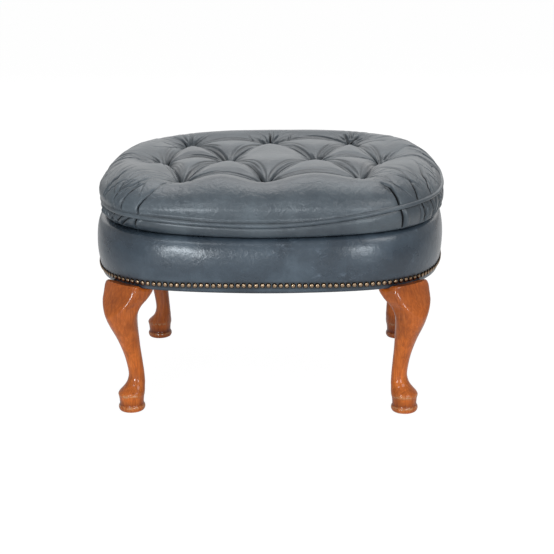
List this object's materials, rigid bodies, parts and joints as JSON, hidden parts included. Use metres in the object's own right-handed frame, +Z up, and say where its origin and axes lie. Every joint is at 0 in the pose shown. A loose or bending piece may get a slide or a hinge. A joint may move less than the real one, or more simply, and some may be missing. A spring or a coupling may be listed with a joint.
{
  "type": "upholstered footstool",
  "caption": "Low footstool with a tufted leather cushion on an upholstered leather base, a row of brass nail heads and cabriole wooden legs with pad feet",
  "frame": {"origin": "on the floor, below the middle of the seat", "axes": "Z up; X along the long side, positive to the right seen from the front; the front faces -Y"},
  "size_m": [0.65, 0.522, 0.4383],
  "materials": {
    "blue_leather": "semi-matte slate blue leather, worn and creased",
    "stained_wood": "orange-brown stained hardwood under gloss varnish",
    "antique_brass": "antiqued dark brass, rubbed bright on the domes",
    "frame_wood": "bare sawn beech",
    "jute_webbing": "woven jute",
    "cotton_padding": "cotton felt padding",
    "foam": "open-cell upholstery foam",
    "black_cloth": "black cambric cloth"
  },
  "bodies": {
    "root": {"leg_front_left": "stained_wood", "leg_front_right": "stained_wood", "leg_rear_left": "stained_wood", "leg_rear_right": "stained_wood", "rail_front": "frame_wood", "rail_rear": "frame_wood", "rail_left": "frame_wood", "rail_right": "frame_wood", "corner_block_front_left": "frame_wood", "corner_block_front_right": "frame_wood", "corner_block_rear_left": "frame_wood", "corner_block_rear_right": "frame_wood", "webbing_short_1": "jute_webbing", "webbing_short_2": "jute_webbing", "webbing_short_3": "jute_webbing", "webbing_short_4": "jute_webbing", "webbing_short_5": "jute_webbing", "webbing_long_1": "jute_webbing", "webbing_long_2": "jute_webbing", "webbing_long_3": "jute_webbing", "base_cover": "blue_leather", "band_padding_right": "cotton_padding", "band_padding_rear": "cotton_padding", "band_padding_left": "cotton_padding", "band_padding_front": "cotton_padding", "deck_pad": "foam", "deck_cloth": "black_cloth", "dust_cover": "black_cloth", "nail_trim": "antique_brass", "cushion_welt": "blue_leather", "cushion_lower_panel": "blue_leather", "cushion_core": "foam", "cushion_top": "blue_leather"}
  },
  "joints": []
}
